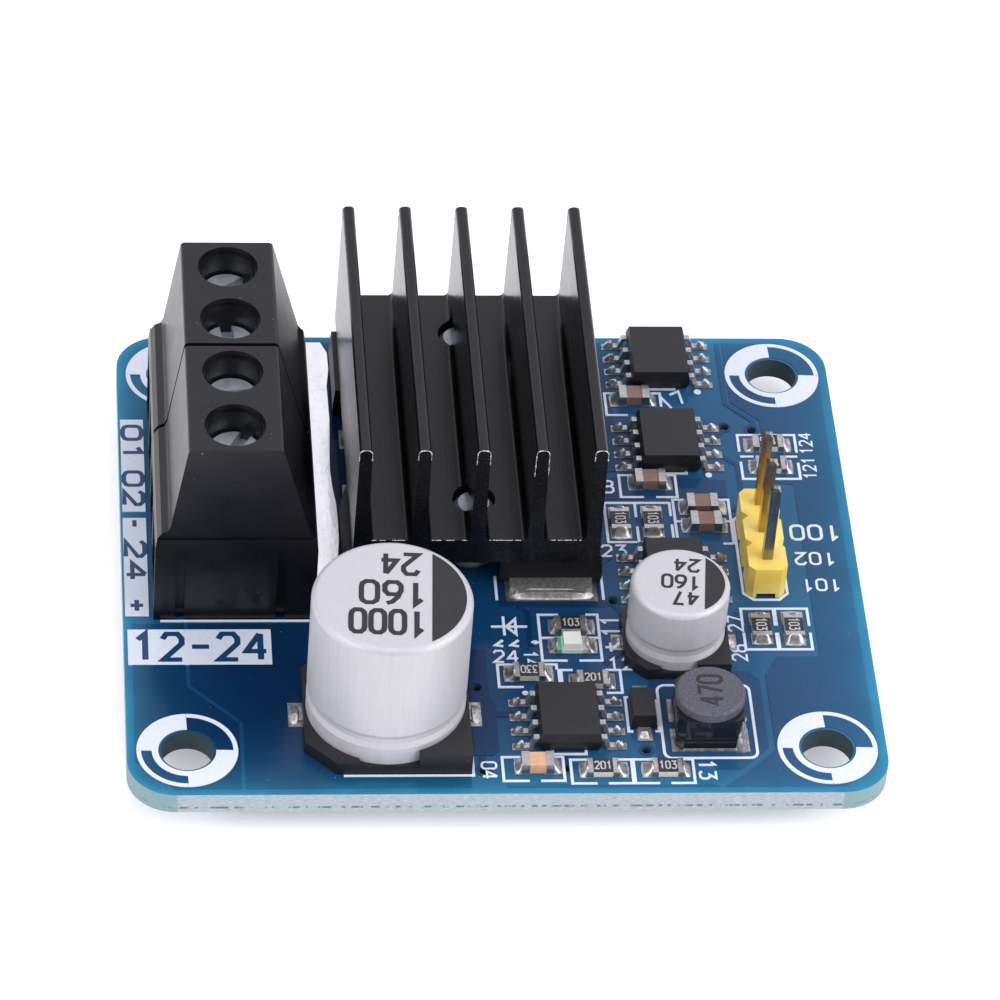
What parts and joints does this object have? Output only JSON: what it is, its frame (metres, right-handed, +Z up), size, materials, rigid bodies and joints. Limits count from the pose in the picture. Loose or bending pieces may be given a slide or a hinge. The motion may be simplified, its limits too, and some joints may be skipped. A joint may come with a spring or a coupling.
{
  "type": "dc motor driver module",
  "caption": "Blue circuit board that drives a motor, with screw terminals along one side, a black finned heatsink, can capacitors, an inductor, small chips and a pin header.",
  "frame": {"origin": "middle of the board's underside, on the centre of the four mounting holes", "axes": "+Z up out of the board's component side, X along the board's longer side with the screw terminals at minus X, Y towards the edge away from the large capacitor"},
  "size_m": [0.0474, 0.0424, 0.0178],
  "materials": {
    "solder_mask_board": "blue solder mask over glass-fibre laminate, semi-gloss",
    "anodised_aluminium": "black anodised extrusion, satin, bare bright edges",
    "silicone_pad": "grey heat-conducting silicone sheet, matt",
    "zinc_plated_steel": "bright zinc plating with fine tool marks",
    "solder": "tin solder, reflowed, satin",
    "terminal_plastic": "black moulded plastic, satin, fine grain",
    "tinned_brass": "tin plated brass, satin",
    "yellow_plastic": "yellow moulded plastic, satin",
    "gold_plated_brass": "thin gold plating, bright",
    "capacitor_aluminium": "coated drawn can, satin",
    "black_base_plastic": "black moulded plastic, matt",
    "tinned_lead": "tin plated copper, satin",
    "ferrite": "dark grey pressed ferrite, matt",
    "wound_wire": "winding under a dark sleeve, semi-gloss",
    "led_body": "clear resin over a white base, gloss",
    "resistor_ceramic": "alumina chip with black glaze and tinned ends",
    "capacitor_ceramic": "tan fired ceramic with tinned ends",
    "black_epoxy": "black moulded epoxy, fine matt grain"
  },
  "bodies": {
    "root": {"board": "solder_mask_board", "ceramic_capacitor_1": "capacitor_ceramic", "ceramic_capacitor_2": "capacitor_ceramic", "ceramic_capacitor_3": "capacitor_ceramic", "ceramic_capacitor_4": "capacitor_ceramic", "ceramic_capacitor_5": "capacitor_ceramic", "chip_1_body": "black_epoxy", "chip_1_leads": "tinned_lead", "chip_2_body": "black_epoxy", "chip_2_leads": "tinned_lead", "chip_3_body": "black_epoxy", "chip_3_leads": "tinned_lead", "chip_4_body": "black_epoxy", "chip_4_leads": "tinned_lead", "diode_body": "black_epoxy", "diode_leads": "tinned_lead", "header_pins": "gold_plated_brass", "header_strip": "yellow_plastic", "heatsink": "anodised_aluminium", "inductor_core": "ferrite", "inductor_terminals": "solder", "inductor_winding": "wound_wire", "large_capacitor_base": "black_base_plastic", "large_capacitor_can": "capacitor_aluminium", "large_capacitor_leads": "tinned_lead", "mosfet_1_body": "black_epoxy", "mosfet_1_leads": "tinned_lead", "mosfet_2_body": "black_epoxy", "mosfet_2_leads": "tinned_lead", "mosfet_3_body": "black_epoxy", "mosfet_3_leads": "tinned_lead", "mosfet_4_body": "black_epoxy", "mosfet_4_leads": "tinned_lead", "power_bus_solder": "solder", "resistor_01": "resistor_ceramic", "resistor_02": "resistor_ceramic", "resistor_03": "resistor_ceramic", "resistor_04": "resistor_ceramic", "resistor_05": "resistor_ceramic", "resistor_06": "resistor_ceramic", "resistor_07": "resistor_ceramic", "resistor_08": "resistor_ceramic", "resistor_09": "resistor_ceramic", "resistor_10": "resistor_ceramic", "resistor_11": "resistor_ceramic", "sink_screws": "zinc_plated_steel", "small_capacitor_base": "black_base_plastic", "small_capacitor_can": "capacitor_aluminium", "small_capacitor_leads": "tinned_lead", "status_led": "led_body", "terminal_clamp_1": "tinned_brass", "terminal_clamp_2": "tinned_brass", "terminal_clamp_3": "tinned_brass", "terminal_clamp_4": "tinned_brass", "terminal_housing_front": "terminal_plastic", "terminal_housing_rear": "terminal_plastic", "terminal_screws": "zinc_plated_steel", "thermal_pad": "silicone_pad"}
  },
  "joints": []
}
